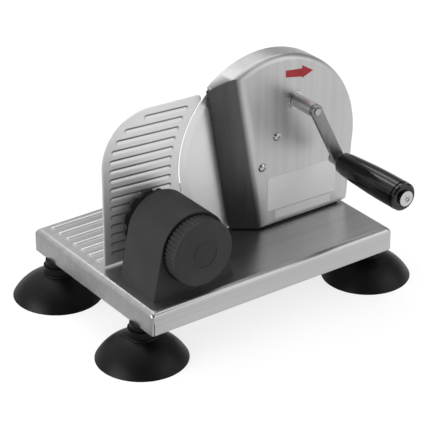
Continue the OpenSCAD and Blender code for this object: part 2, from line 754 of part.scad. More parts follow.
module handle_spindle() placed() color(dark_steel) difference() {
  union() {
    bar(handle_x, handle_z, arm_back_y, screw_seat_y, spindle_r);
    bar(handle_x, handle_z, arm_back_y + tail_t, arm_back_y, tail_r);
    bar(handle_x, handle_z, arm_front_y, grip_back_y + face_gap, collar_r);
  }
  bar(handle_x, handle_z, screw_seat_y + handle_screw_l + face_gap, screw_seat_y - through,
    handle_screw_r + seat_fit);
}
module handle_screw() placed() color(bright) difference() {
  union() {
    bar(handle_x, handle_z, screw_seat_y, screw_seat_y - screw_head_t, screw_head_r);
    bar(handle_x, handle_z, screw_seat_y + handle_screw_l, screw_seat_y, handle_screw_r);
  }
  screw_front_y = screw_seat_y - screw_head_t;
  bar(handle_x, handle_z, screw_front_y + screw_dish_d, screw_front_y - through, screw_dish_r);
  facing(screw_front_y + screw_cross_d, handle_x, handle_z)
    linear_extrude(screw_cross_d) cross_cut(screw_dish_r);
}

// Grip: its radius grows along a quarter sine from the arm to the outer end
grip_steps = 14;
grip_turned = grip_l - ring_l;
grip_full_at = 0.8;
grip_end_w = 1.6;
grip_end_l = 1.5;
grip_bore_r = spindle_r + run_fit;
function grip_radius(t) = grip_r0 + (grip_r1 - grip_r0)*sin(90*min(1, t/grip_full_at));
function grip_along(t) = grip_end_l + (grip_turned - grip_end_l)*t;
module handle_grip() placed() color(black) facing(grip_back_y, handle_x, handle_z) rotate_extrude($fn = 72)
  polygon(concat(
    [[grip_bore_r, 0], [grip_r0 - grip_end_w, 0], [grip_r0 - grip_end_w/3, grip_end_l/3]],
    [for (i = [1:grip_steps]) [grip_radius(i/grip_steps), grip_along(i/grip_steps)]],
    [[grip_bore_r, grip_turned]]));
ring_neck_w = 1;
ring_neck_l = 0.8;
ring_edge = 1.4;
ring_dish_r = screw_head_r + ring_edge;
ring_dish_d = 0.5;
module grip_ring() placed() color(black) facing(grip_back_y, handle_x, handle_z) rotate_extrude($fn = 72)
  polygon([
    [grip_bore_r, grip_turned], [ring_r - ring_neck_w, grip_turned],
    [ring_r - ring_neck_w, grip_turned + ring_neck_l], [ring_r, grip_turned + 1.5*ring_neck_l],
    [ring_r, grip_l - ring_edge], [ring_r - ring_edge, grip_l], [ring_dish_r, grip_l],
    [ring_dish_r, grip_l - ring_dish_d], [grip_bore_r, grip_l - ring_dish_d]
  ]);

// Stop plate: a sheet with a round corner, a tip and a notch round the blade
module plate_outline() {
  difference() {
    intersection() {
      union() {
        translate([plate_arc_x, plate_arc_z]) circle(plate_corner_r, $fn = 128);
        polygon([
          [plate_left, plate_bottom_z], [plate_left, plate_arc_z], edge_start, tip_at + tip_r*edge_normal,
          tip_at, [blade_x, blade_z], [blade_x, plate_bottom_z]
        ]);
      }
      translate([plate_left - 1, plate_bottom_z])
        square([tip_at[0] + tip_r - plate_left + 1, plate_top]);
    }
    translate([blade_x, blade_z]) circle(notch_r, $fn = 180);
    translate([plate_toe_x, plate_bottom_z - 1]) square([far, blade_h/2]);
  }
  translate(tip_at) circle(tip_r);
}
// Ends of the flutes: on a round inside the plate's corner, and on a round about the blade's axis
flute_edge_gap = 9.2;
flute_notch_gap = 10.2;
flute_top_gap = 7.9;
flute_end_r = plate_corner_r - flute_edge_gap;
flute_notch_r = notch_r + flute_notch_gap;
flute_top_z = tray_z + plate_top - flute_top_gap;
function flute_z(i, x) = flute_top_z - i*flute_pitch - (x - plate_arc_x)*tan(flute_fall);
function flute_left(z) = z > plate_arc_z
  ? plate_arc_x - sqrt(max(0, pow(flute_end_r, 2) - pow(z - plate_arc_z, 2))) : plate_arc_x - flute_end_r;
function flute_right(z) = blade_x - sqrt(pow(flute_notch_r, 2) - pow(z - blade_z, 2));
module flutes(w) for (i = [0:flute_count - 1]) {
  left = flute_left(flute_z(i, flute_left(flute_z(i, plate_arc_x))));
  right = flute_right(flute_z(i, flute_right(flute_z(i, plate_arc_x))));
  run = (right - left)/cos(flute_fall);
  translate([left, flute_z(i, left)]) rotate(-flute_fall) union() {
    translate([0, -w/2]) square([run, w]);
    circle(w/2);
    translate([run, 0]) circle(w/2);
  }
}
flute_wall = 0.9;
module stop_plate() placed() color(steel) difference() {
  union() {
    facing(plate_back_y) linear_extrude(plate_t) plate_outline();
    facing(plate_back_y + flute_d) linear_extrude(flute_d + plate_t/2) flutes(flute_w);
  }
  facing(plate_front_y + flute_d) linear_extrude(flute_d + through) flutes(flute_w - 2*flute_wall);
  for (p = carrier_screw_at) bar(dial_x + p[0], dial_z + p[1], plate_back_y + flute_d + through,
    plate_front_y - through, carrier_screw_r + seat_fit);
}

// Carrier: a hub on the plate's front with a scalloped flange; it holds the nut and the guide rods
scallop_count = 10;
scallop_r = 4;
scallop_turn = 3;
carrier_hub_r = 18;
carrier_flange_t = 3;
carrier_skin = 1;
rod_boss_r = rod_r + guide_wall;
carrier_screw_r = 1.5;
carrier_screw_l = carrier_t + plate_t - 2*carrier_skin;
carrier_screw_at = [[-12, 8], [12, 8], [0, -14]];
module carrier_outline() difference() {
  circle(carrier_r);
  for (i = [0:scallop_count - 1]) rotate(scallop_turn + 360*i/scallop_count)
    translate([carrier_r + scallop_r*0.35, 0]) circle(scallop_r);
}
module plate_carrier() placed() color(black) difference() {
  union() {
    bar(dial_x, dial_z, plate_front_y, carrier_front_y, carrier_hub_r);
    for (s = [-1, 1]) bar(dial_x + s*rod_dx, dial_z + rod_dz, plate_front_y, carrier_front_y, rod_boss_r);
    facing(carrier_front_y + carrier_flange_t, dial_x, dial_z)
      linear_extrude(carrier_flange_t) carrier_outline();
  }
  bar(dial_x, dial_z, plate_front_y - carrier_t/2, carrier_front_y - through, nut_r + seat_fit);
  for (s = [-1, 1])
    bar(dial_x + s*rod_dx, dial_z + rod_dz, plate_front_y - carrier_skin, carrier_front_y - through,
      rod_r + seat_fit);
  for (p = carrier_screw_at) bar(dial_x + p[0], dial_z + p[1], plate_front_y + through,
    carrier_front_y + carrier_skin, carrier_screw_r + seat_fit);
}
module carrier_screws() placed() color(bright) for (p = carrier_screw_at)
  bar(dial_x + p[0], dial_z + p[1], plate_back_y, plate_back_y - carrier_screw_l, carrier_screw_r);
module guide_rods() placed() color(bright) for (s = [-1, 1])
  bar(dial_x + s*rod_dx, dial_z + rod_dz, plate_front_y - carrier_skin, carrier_front_y - rod_l, rod_r);
module lead_nut() placed() color(brass) difference() {
  bar(dial_x, dial_z, plate_front_y - carrier_t/2, carrier_front_y - rod_l, nut_r);
  bar(dial_x, dial_z, nut_floor_y, carrier_front_y - rod_l - through, dial_spindle_r + run_fit);
}

// Adjuster housing: a round hood whose sides run down to the tray as tangents
function tangent_at(r, half_w, drop) = let (
    reach = sqrt(half_w*half_w + drop*drop), a = acos(r/reach) - atan2(drop, half_w)) r*[cos(a), sin(a)];
module hood_outline(r, half_w, drop) {
  touch = tangent_at(r - round_slack, half_w, drop);
  circle(r, $fn = 96);
  polygon([[-half_w, -drop], [half_w, -drop], touch, [-touch[0], touch[1]]]);
}
module adjuster_housing() placed() color(black) difference() {
  union() {
    difference() {
      facing(housing_in_back_y, dial_x, dial_z)
        linear_extrude(housing_d - housing_t) hood_outline(hood_r, housing_half_w, dial_h);
      facing(housing_back_y, dial_x, dial_z) linear_extrude(housing_back_y - housing_in_front_y)
        hood_outline(hood_r - housing_t, housing_half_w - housing_t, dial_h + through);
    }
    for (s = [-1, 1], y = housing_screw_ys)
      translate([dial_x + s*(housing_screw_dx + boss_shift) - boss_w/2, y - boss_d/2, tray_z])
        cube([boss_w, boss_d, boss_h]);
  }
  bar(dial_x, dial_z, housing_front_y + recess_d, housing_front_y - through, recess_r);
  bar(dial_x, dial_z, housing_in_front_y + through, housing_front_y - through, dial_bush_r + seat_fit);
  for (s = [-1, 1], y = housing_screw_ys) translate([dial_x + s*housing_screw_dx, y, tray_z - through])
    cylinder(h = boss_h, r = boss_hole_r + seat_fit);
}
module housing_back() placed() color(black) difference() {
  facing(housing_back_y, dial_x, dial_z) linear_extrude(housing_t) hood_outline(hood_r, housing_half_w, dial_h);
  bar(dial_x, dial_z, housing_back_y + through, housing_in_back_y - through, nut_r + face_gap);
  for (s = [-1, 1])
    bar(dial_x + s*rod_dx, dial_z + rod_dz, housing_back_y + through, housing_in_back_y - through,
      guide_r + seat_fit);
}
module guide_bushes() placed() color(brass) for (s = [-1, 1]) difference() {
  union() {
    bar(dial_x + s*rod_dx, dial_z + rod_dz, housing_back_y, housing_in_back_y, guide_r);
    bar(dial_x + s*rod_dx, dial_z + rod_dz, housing_in_back_y, housing_in_back_y - guide_l,
      guide_r + guide_rim);
  }
  bar(dial_x + s*rod_dx, dial_z + rod_dz, housing_back_y + through, housing_in_back_y - guide_l - through,
    rod_r + run_fit);
}
module housing_screws() placed() color(bright) for (s = [-1, 1], y = housing_screw_ys)
  translate([dial_x + s*housing_screw_dx, y, 0])
    base_screw(boss_hole_r, 2*boss_hole_r, tray_z + boss_h - 2*end_gap);

// Dial
module dial_bush() placed() color(brass) difference() {
  bar(dial_x, dial_z, housing_in_front_y, housing_front_y + recess_d, dial_bush_r);
  bar(dial_x, dial_z, housing_in_front_y + through, housing_front_y + recess_d - through,
    dial_spindle_r + run_fit);
}
module dial_clip() placed() color(bright) difference() {
  bar(dial_x, dial_z, housing_in_front_y + clip_t, housing_in_front_y + face_gap/2, dial_clip_r);
  bar(dial_x, dial_z, housing_in_front_y + clip_t + through, housing_in_front_y, dial_spindle_r + seat_fit);
}
spindle_back_y = nut_floor_y - travel - end_gap;
dial_cap_t = 2;
dial_head_t = 1.8;
dial_head_seat = dial_cap_t + face_gap + dial_head_t;
knob_floor = dial_head_seat + 2;
spindle_front_y = knob_front_y + knob_floor;
module dial_spindle() placed() color(dark_steel) difference() {
  bar(dial_x, dial_z, spindle_back_y, spindle_front_y, dial_spindle_r);
  bar(dial_x, dial_z, spindle_front_y + dial_screw_l + face_gap, spindle_front_y - through,
    dial_screw_r + seat_fit);
}
dial_screw_r = 2;
dial_screw_l = 9.5;
dial_head_r = 4;
dial_head_y = knob_front_y + dial_head_seat;
knob_ring_r = 12.7;
knob_ring_d = 0.3;
knob_disc_r = 9;
knob_edge_r = 2.2;
knob_boss_w = 6;
module knob_profile() difference() {
  union() {
    translate([0, -knob_gap - recess_d + face_gap])
      square([dial_spindle_r + knob_boss_w, knob_gap + recess_d]);
    square([knob_r, knob_l - knob_edge_r]);
    square([knob_r - knob_edge_r, knob_l]);
    translate([knob_r - knob_edge_r, knob_l - knob_edge_r]) circle(knob_edge_r);
  }
  translate([knob_disc_r, knob_l - knob_ring_d]) square([knob_ring_r - knob_disc_r, 2*knob_ring_d]);
  translate([0, -far/2]) square([dial_spindle_r + seat_fit, far/2 + knob_l - knob_floor]);
  square([dial_screw_r + seat_fit, far]);
  translate([0, knob_l - dial_head_seat]) square([dial_head_r + face_gap/2, far]);
  translate([0, knob_l - dial_cap_t]) square([knob_disc_r + seat_fit, far]);
}
groove_r = 1.25;
groove_out = groove_r/5;
groove_stop = 0.5;
module dial_knob() placed() color(black) facing(knob_back_y, dial_x, dial_z) difference() {
  rotate_extrude($fn = 96) knob_profile();
  for (i = [0:rib_count - 1]) rotate(360*(i + 0.5)/rib_count) translate([knob_r + groove_out, 0, -through])
    cylinder(h = knob_l - knob_edge_r - groove_stop + through, r = groove_r, $fn = 16);
}
module dial_screw() placed() color(bright) difference() {
  union() {
    bar(dial_x, dial_z, dial_head_y, dial_head_y - dial_head_t, dial_head_r);
    bar(dial_x, dial_z, spindle_front_y + dial_screw_l, dial_head_y, dial_screw_r);
  }
  facing(dial_head_y - dial_head_t/2, dial_x, dial_z) linear_extrude(dial_head_t) cross_cut(0.75*dial_head_r);
}
module dial_cap() placed() color(black)
  bar(dial_x, dial_z, knob_front_y + dial_cap_t, knob_front_y, knob_disc_r);

tray();
suction_cup_front_left();
suction_cup_front_right();
suction_cup_back_left();
suction_cup_back_right();
foot_studs();
foot_washers();
foot_nuts();
casing();
gear_plate();
casing_gasket();
casing_screws();
casing_base_screws();
casing_base_nuts();
plate_posts();
plate_screws();
blade_bearing();
blade_bush();
crank_bush();
crank_rear_bush();
blade();
blade_hub();
blade_shaft();
blade_pinion();
blade_screws();
blade_washer();
crank_shaft();
crank_gear();
crank_washer();
crank_sleeve();
crank_arm();
handle_spindle();
handle_screw();
handle_grip();
grip_ring();
stop_plate();
plate_carrier();
carrier_screws();
guide_rods();
lead_nut();
adjuster_housing();
housing_back();
guide_bushes();
housing_screws();
dial_bush();
dial_knob();
dial_spindle();
dial_screw();
dial_cap();
dial_clip();
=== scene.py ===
import json
import math
import bmesh
import bpy
import numpy as np
from mathutils import Matrix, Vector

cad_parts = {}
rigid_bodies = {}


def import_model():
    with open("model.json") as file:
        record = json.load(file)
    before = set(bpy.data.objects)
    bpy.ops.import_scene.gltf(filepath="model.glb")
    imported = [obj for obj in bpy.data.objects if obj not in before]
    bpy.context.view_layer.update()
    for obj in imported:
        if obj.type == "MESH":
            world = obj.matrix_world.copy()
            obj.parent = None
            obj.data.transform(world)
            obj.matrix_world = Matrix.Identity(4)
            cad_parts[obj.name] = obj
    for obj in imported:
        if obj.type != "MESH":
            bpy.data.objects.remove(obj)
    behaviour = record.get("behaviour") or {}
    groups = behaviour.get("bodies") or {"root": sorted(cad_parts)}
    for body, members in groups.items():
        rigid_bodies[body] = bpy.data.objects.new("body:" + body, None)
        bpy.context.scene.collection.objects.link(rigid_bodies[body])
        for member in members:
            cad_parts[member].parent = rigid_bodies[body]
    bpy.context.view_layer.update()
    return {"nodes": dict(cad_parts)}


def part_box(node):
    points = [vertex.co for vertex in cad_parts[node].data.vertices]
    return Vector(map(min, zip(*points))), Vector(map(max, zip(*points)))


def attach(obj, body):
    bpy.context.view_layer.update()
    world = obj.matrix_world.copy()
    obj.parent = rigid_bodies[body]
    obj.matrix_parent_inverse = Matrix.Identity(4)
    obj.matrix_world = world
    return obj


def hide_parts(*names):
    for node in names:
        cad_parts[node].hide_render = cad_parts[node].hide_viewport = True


scene = bpy.context.scene
for spare in list(bpy.data.objects):  # the startup cube would count as a piece
    bpy.data.objects.remove(spare, do_unlink=True)
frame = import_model()
nodes = frame["nodes"]
scene.view_settings.view_transform = "Standard"
mm = 0.001
print("frame loaded:", len(nodes), "nodes")


# small helpers for node trees
def addNode(tree, kind, inputs=None, **values):
    made = tree.nodes.new(kind)
    for key, value in values.items():
        setattr(made, key, value)
    for key, value in (inputs or {}).items():
        made.inputs[key].default_value = value
    return made


def wire(tree, source, output, target, socket):
    tree.links.new(source.outputs[output], target.inputs[socket])


def mathNode(tree, operation, first, second):
    made = addNode(tree, "ShaderNodeMath", operation=operation)
    for spot, value in enumerate((first, second)):
        if isinstance(value, (int, float)):
            made.inputs[spot].default_value = value
        else:
            tree.links.new(value, made.inputs[spot])
    return made.outputs[0]


def rangeNode(tree, value, fromLow, fromHigh, toLow, toHigh):
    made = addNode(tree, "ShaderNodeMapRange", {1: fromLow, 2: fromHigh, 3: toLow, 4: toHigh})
    tree.links.new(value, made.inputs[0])
    return made.outputs[0]


def newGroup(name, inputs, outputs):
    tree = bpy.data.node_groups.new(name, "ShaderNodeTree")
    for label, kind, value in inputs:
        tree.interface.new_socket(label, in_out="INPUT", socket_type=kind).default_value = value
    for label in outputs:
        tree.interface.new_socket(label, in_out="OUTPUT", socket_type="NodeSocketFloat")
    return tree, tree.nodes.new("NodeGroupInput"), tree.nodes.new("NodeGroupOutput")


# a noise seldom leaves the middle of its range, so that span is stretched to 0..1 and put out
def putOut(tree, noise, span, leave, label):
    tree.links.new(rangeNode(tree, noise.outputs[0], *span, 0.0, 1.0), leave.inputs[label])


# brushed lines: noise whose coordinates are stretched, so that each grain is a long hair line
brushNoise = {"Lines": {"Scale": 1.0, "Detail": 4.0, "Roughness": 0.7},
              "Bands": {"Scale": 0.09, "Detail": 3.0, "Roughness": 0.6}}
brushSpan = {"Lines": (0.28, 0.72), "Bands": (0.3, 0.7)}


def makeBrushGroup():
    inputs = [("Stretch", "NodeSocketVector", (20, 1500, 1500))]
    tree, entry, leave = newGroup("brushLines", inputs, brushNoise)
    place = addNode(tree, "ShaderNodeTexCoord")
    stretched = addNode(tree, "ShaderNodeVectorMath", operation="MULTIPLY")
    wire(tree, place, "Object", stretched, 0)
    wire(tree, entry, "Stretch", stretched, 1)
    for label, values in brushNoise.items():
        noise = addNode(tree, "ShaderNodeTexNoise", values)
        wire(tree, stretched, 0, noise, "Vector")
        putOut(tree, noise, brushSpan[label], leave, label)
    return tree


# turned lines: noise of the distance from an axis along y, so that the lines are circles about it
turnedNoise = {"Lines": {"Scale": 1.0, "Detail": 3.0}, "Bands": {"Scale": 0.08, "Detail": 2.0}}
turnedSpan = (0.3, 0.7)


def makeTurnedGroup():
    inputs = [("Centre", "NodeSocketVector", (0, 0, 0)), ("Fine", "NodeSocketFloat", 1400.0)]
    tree, entry, leave = newGroup("turnedLines", inputs, turnedNoise)
    place = addNode(tree, "ShaderNodeTexCoord")
    offset = addNode(tree, "ShaderNodeVectorMath", operation="SUBTRACT")
    flat = addNode(tree, "ShaderNodeVectorMath", {1: (1, 0, 1)}, operation="MULTIPLY")
    radius = addNode(tree, "ShaderNodeVectorMath", operation="LENGTH")
    wire(tree, place, "Object", offset, 0)
    wire(tree, entry, "Centre", offset, 1)
    wire(tree, offset, 0, flat, 0)
    wire(tree, flat, 0, radius, 0)
    fine = mathNode(tree, "MULTIPLY", radius.outputs["Value"], entry.outputs["Fine"])
    for label, values in turnedNoise.items():
        noise = addNode(tree, "ShaderNodeTexNoise", values, noise_dimensions="1D")
        tree.links.new(fine, noise.inputs["W"])
        putOut(tree, noise, turnedSpan, leave, label)
    return tree


# smudges: soft wide blotches, as from handling and wiping
smudgeNoise = {"Detail": 4.0, "Roughness": 0.55, "Distortion": 0.7}
smudgeSpan = (0.36, 0.68)


def makeSmudgeGroup():
    tree, entry, leave = newGroup("smudges", [("Size", "NodeSocketFloat", 22.0)], ["Mask"])
    place = addNode(tree, "ShaderNodeTexCoord")
    blot = addNode(tree, "ShaderNodeTexNoise", smudgeNoise)
    wire(tree, place, "Object", blot, "Vector")
    wire(tree, entry, "Size", blot, "Scale")
    putOut(tree, blot, smudgeSpan, leave, "Mask")
    return tree


# mould grain: fine pebbles with a slow drift of tone under them
pebbleNoise, pebbleSpan = {"Detail": 2.0, "Roughness": 0.6}, (0.3, 0.7)
driftNoise, driftSpan = {"Scale": 26.0, "Detail": 3.0}, (0.32, 0.68)


def makeGrainGroup():
    tree, entry, leave = newGroup("mouldGrain", [("Fine", "NodeSocketFloat", 1700.0)], ["Grain", "Drift"])
    place = addNode(tree, "ShaderNodeTexCoord")
    pebble = addNode(tree, "ShaderNodeTexNoise", pebbleNoise)
    drift = addNode(tree, "ShaderNodeTexNoise", driftNoise)
    wire(tree, place, "Object", pebble, "Vector")
    wire(tree, place, "Object", drift, "Vector")
    wire(tree, entry, "Fine", pebble, "Scale")
    putOut(tree, pebble, pebbleSpan, leave, "Grain")
    putOut(tree, drift, driftSpan, leave, "Drift")
    return tree


brushLines, turnedLines = makeBrushGroup(), makeTurnedGroup()
smudges, mouldGrain = makeSmudgeGroup(), makeGrainGroup()
print("shader groups made")


def newMaterial(name, **sockets):
    made = bpy.data.materials.new(name)
    made.use_nodes = True
    shader = made.node_tree.nodes["Principled BSDF"]
    for key, value in sockets.items():
        shader.inputs[key.replace("_", " ")].default_value = value
    return made, made.node_tree, shader


def useGroup(tree, group, **inputs):
    return addNode(tree, "ShaderNodeGroup", inputs, node_tree=group)


def blendColours(tree, mask, dark, light):
    made = addNode(tree, "ShaderNodeMix", {"A": (*dark, 1), "B": (*light, 1)}, data_type="RGBA")
    tree.links.new(mask, made.inputs["Factor"])
    return made.outputs["Result"]


# roughness: from its low to its high value over the mask, and a little more where wiped
def addGloss(tree, shader, mask, look):
    wiped = useGroup(tree, smudges, Size=look["smudge"])
    spread = rangeNode(tree, mask, 0.0, 1.0, *look["rough"])
    duller = mathNode(tree, "MULTIPLY", wiped.outputs["Mask"], look["wipe"])
    tree.links.new(mathNode(tree, "ADD", spread, duller), shader.inputs["Roughness"])


reliefDepth = 0.1 * mm


def addRelief(tree, shader, height, look):
    bump = addNode(tree, "ShaderNodeBump", {"Strength": look["relief"], "Distance": reliefDepth})
    tree.links.new(height, bump.inputs["Height"])
    wire(tree, bump, "Normal", shader, "Normal")


# steel sheet: lines of the grinding belt in tone, gloss and relief, and smudges over them
plainSteel = {"metal": 1.0, "hair": 0.5}  # hair is the share of fine lines in the tone, the rest is wide bands


def makeSteel(name, own):
    look = {**plainSteel, **own}
    made, tree, shader = newMaterial(name, Metallic=look["metal"])
    if "centre" in look:
        lines = useGroup(tree, turnedLines, Centre=look["centre"], Fine=look["fine"])
    else:
        lines = useGroup(tree, brushLines, Stretch=look["stretch"])
    fineShare = mathNode(tree, "MULTIPLY", lines.outputs["Lines"], look["hair"])
    wideShare = mathNode(tree, "MULTIPLY", lines.outputs["Bands"], 1 - look["hair"])
    tone = mathNode(tree, "ADD", fineShare, wideShare)
    colour = blendColours(tree, tone, look["dark"], look["light"])
    # painted shade: where the piece's own attribute says so, the tone is blended towards a darker one that stands
    # in for shade or a dark reflection
    if "paintedShade" in look:  # share of a darker tone, from the piece's own attribute
        share = addNode(tree, "ShaderNodeAttribute", attribute_name=look["paintedShade"])
        deep = blendColours(tree, tone, look["shadeDark"], look["shadeLight"])
        both = addNode(tree, "ShaderNodeMix", data_type="RGBA")
        wire(tree, share, "Fac", both, "Factor")
        tree.links.new(colour, both.inputs["A"])
        tree.links.new(deep, both.inputs["B"])
        colour = both.outputs["Result"]
    tree.links.new(colour, shader.inputs["Base Color"])
    addGloss(tree, shader, tone, look)
    addRelief(tree, shader, lines.outputs["Lines"], look)
    return made


# moulded plastic and rubber: pebbled relief, drift of tone, a duller bloom in places
def makeMoulded(name, look):
    made, tree, shader = newMaterial(name, Specular_IOR_Level=look["shine"])
    grain = useGroup(tree, mouldGrain, Fine=look["fine"])
    colour = blendColours(tree, grain.outputs["Drift"], look["dark"], look["light"])
    tree.links.new(colour, shader.inputs["Base Color"])
    addGloss(tree, shader, grain.outputs["Grain"], look)
    addRelief(tree, shader, grain.outputs["Grain"], look)
    return made


bladeAxis = (46.8 * mm, 0, 124 * mm)
crankAxis = (65.077 * mm, 0, 171.613 * mm)

steelLooks = {
    "trayBrushed": {
        "stretch": (9, 1500, 1500), "smudge": 16, "dark": (0.44, 0.44, 0.445), "light": (0.54, 0.54, 0.54),
        "rough": (0.28, 0.31), "wipe": 0.03, "relief": 0.02, "hair": 0.12},
    "casingBrushed": {
        "stretch": (1500, 1500, 10), "smudge": 18, "dark": (0.46, 0.46, 0.46), "light": (0.575, 0.575, 0.57),
        "rough": (0.32, 0.42), "wipe": 0.06, "relief": 0.10,
        # painted shade: the slanted deflector face gets these darker tones in place of the dark reflection it
        # shows
        "paintedShade": "slantShade", "shadeDark": (0.115, 0.115, 0.115), "shadeLight": (0.165, 0.165, 0.165)},
    "plateBrushed": {
        "stretch": (12, 1500, 1300), "smudge": 20, "dark": (0.78, 0.78, 0.78), "light": (0.86, 0.86, 0.855),
        "rough": (0.44, 0.52), "wipe": 0.05, "relief": 0.04, "metal": 0.8,
        # painted shade: the flute creases get these darker tones
        "paintedShade": "creaseShade", "shadeDark": (0.09, 0.09, 0.09), "shadeLight": (0.13, 0.13, 0.13)},
    "bladePolished": {
        "centre": bladeAxis, "fine": 900, "smudge": 18, "dark": (0.80, 0.80, 0.805), "light": (0.86, 0.86, 0.86),
        "rough": (0.36, 0.39), "wipe": 0.03, "relief": 0.004, "metal": 0.55, "hair": 0.12},
    "armBrushed": {
        "stretch": (900, 1500, 60), "smudge": 40, "dark": (0.21, 0.21, 0.21), "light": (0.33, 0.33, 0.325),
        "rough": (0.28, 0.4), "wipe": 0.08, "relief": 0.15},
    "chromeBright": {
        "centre": crankAxis, "fine": 1800, "smudge": 60, "dark": (0.50, 0.50, 0.51), "light": (0.62, 0.62, 0.62),
        "rough": (0.10, 0.16), "wipe": 0.06, "relief": 0.03},
    "sleevePolished": {
        "stretch": (1500, 40, 1500), "smudge": 60, "dark": (0.46, 0.46, 0.465), "light": (0.58, 0.58, 0.58),
        "rough": (0.28, 0.36), "wipe": 0.06, "relief": 0.05},
    "shaftTurned": {
        "centre": bladeAxis, "fine": 2200, "smudge": 50, "dark": (0.36, 0.36, 0.365), "light": (0.52, 0.52, 0.515),
        "rough": (0.22, 0.34), "wipe": 0.08, "relief": 0.12},
    "brassTurned": {
        "centre": bladeAxis, "fine": 2200, "smudge": 50, "dark": (0.50, 0.33, 0.12), "light": (0.68, 0.48, 0.20),
        "rough": (0.25, 0.38), "wipe": 0.1, "relief": 0.1},
}
mouldedLooks = {
    "housingMatte": {
        "fine": 1900, "smudge": 24, "dark": (0.026, 0.0265, 0.027), "light": (0.036, 0.0365, 0.037),
        "rough": (0.52, 0.66), "wipe": 0.1, "relief": 0.35, "shine": 0.22},
    "knobMatte": {
        "fine": 2100, "smudge": 30, "dark": (0.025, 0.0255, 0.026), "light": (0.034, 0.0345, 0.035),
        "rough": (0.48, 0.62), "wipe": 0.1, "relief": 0.3, "shine": 0.24},
    "gripGloss": {
        "fine": 500, "smudge": 40, "dark": (0.003, 0.003, 0.0032), "light": (0.006, 0.006, 0.0063),
        "rough": (0.11, 0.125), "wipe": 0.02, "relief": 0.01, "shine": 0.48},
    "footRubber": {
        "fine": 1300, "smudge": 30, "dark": (0.0018, 0.0018, 0.002), "light": (0.0036, 0.0036, 0.0038),
        "rough": (0.30, 0.40), "wipe": 0.10, "relief": 0.15, "shine": 0.2},
    "gearNylon": {
        "fine": 1500, "smudge": 40, "dark": (0.62, 0.60, 0.54), "light": (0.74, 0.72, 0.66),
        "rough": (0.42, 0.55), "wipe": 0.08, "relief": 0.15, "shine": 0.45},
    "arrowPaint": {
        "fine": 1500, "smudge": 40, "dark": (0.31, 0.018, 0.026), "light": (0.39, 0.026, 0.035),
        "rough": (0.42, 0.54), "wipe": 0.08, "relief": 0.06, "shine": 0.3},
    "labelBlank": {
        "fine": 1500, "smudge": 30, "dark": (0.68, 0.68, 0.68), "light": (0.74, 0.74, 0.74),
        "rough": (0.34, 0.46), "wipe": 0.08, "relief": 0.05, "shine": 0.4},
}
finish = {name: makeSteel(name, look) for name, look in steelLooks.items()}
finish.update({name: makeMoulded(name, look) for name, look in mouldedLooks.items()})
print("finishes made:", len(finish))

# which finish goes on which CAD node, by the record's material slot, with a few nodes of their own
slotFinish = {"tray_steel": "trayBrushed", "casing_steel": "casingBrushed", "plate_steel": "plateBrushed",
              "blade_steel": "bladePolished", "bright_steel": "chromeBright", "shaft_steel": "shaftTurned",
              "bush_brass": "brassTurned", "gear_nylon": "gearNylon", "housing_plastic": "housingMatte",
              "grip_plastic": "gripGloss", "foot_rubber": "footRubber"}
ownFinish = {"crank_arm": "armBrushed", "crank_sleeve": "sleevePolished",
             "dial_knob": "knobMatte", "dial_cap": "knobMatte"}
for name, node in nodes.items():
    for spot in node.material_slots:
        spot.material = finish[ownFinish.get(name) or slotFinish[spot.material.name.split(".")[0]]]
print("finishes put on the nodes")


# a mesh becomes a piece that rides on its body: smooth, with edges sharper than the angle kept
def newPiece(name, mesh, material, body, sharp, stands=()):
    mesh.shade_smooth()
    mesh.set_sharp_from_angle(angle=math.radians(sharp))
    mesh.materials.append(material)
    made = bpy.data.objects.new(name, mesh)
    scene.collection.objects.link(made)
    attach(made, body)
    if stands:
        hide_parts(*stands)
    return made


def newMesh(name, points, faces):
    mesh = bpy.data.meshes.new(name)
    mesh.from_pydata(points.reshape(-1, 3).tolist(), [], faces.tolist())
    mesh.update()
    return mesh


# faces of a grid of rows and columns whose last column joins the first
def ringFaces(rows, columns):
    at = np.arange(rows * columns).reshape(rows, columns)
    after = np.roll(at, -1, axis=1)
    return np.stack([at[:-1], after[:-1], after[1:], at[1:]], -1).reshape(-1, 4)


# faces that close one end of such a grid: columns across its front, then as many back again
def capFaces(columns):
    side = np.arange(columns - 1)
    return np.stack([side + 1, side, 2 * columns - 1 - side, 2 * columns - 2 - side], -1)


nodeCopy = {"mergeGap": 1e-6, "flatAngle": 0.03, "sharp": 32}


# a copy of a CAD node to work on: merged, flat faces joined
def mergedCopy(node):
    work = bmesh.new()
    work.from_mesh(nodes[node].data)
    bmesh.ops.remove_doubles(work, verts=work.verts, dist=nodeCopy["mergeGap"])
    bmesh.ops.dissolve_limit(work, angle_limit=math.radians(nodeCopy["flatAngle"]),
                             verts=work.verts, edges=work.edges)
    return work


# the worked copy becomes the piece that stands for its node
def placeCopy(work, name, node, body):
    mesh = bpy.data.meshes.new(name)
    work.to_mesh(mesh)
    work.free()
    return newPiece(name, mesh, nodes[node].material_slots[0].material, body, nodeCopy["sharp"], (node,))


def evenNormals(made):  # large flat faces keep their own normal beside a round
    even = made.modifiers.new("evenNormals", "WEIGHTED_NORMAL")
    even.keep_sharp = True


# a copy of a node with a Bevel on the picked edges, of the width and steps given
def softened(name, node, body, soft, picked):
    work = mergedCopy(node)
    weight = work.edges.layers.float.new("bevel_weight_edge")
    chosen = [edge for edge in work.edges if len(edge.link_faces) == 2 and picked(edge)]
    for edge in chosen:
        edge[weight] = 1.0
    print(name, "softened on", len(chosen), "edges")
    made = placeCopy(work, name, node, body)
    rounding = made.modifiers.new("rounded", "BEVEL")
    rounding.limit_method = "WEIGHT"
    rounding.width = soft["width"]
    rounding.segments = soft["steps"]
    rounding.harden_normals = True
    return made


def isBent(edge, degrees):
    return edge.calc_face_angle(0) > math.radians(degrees)


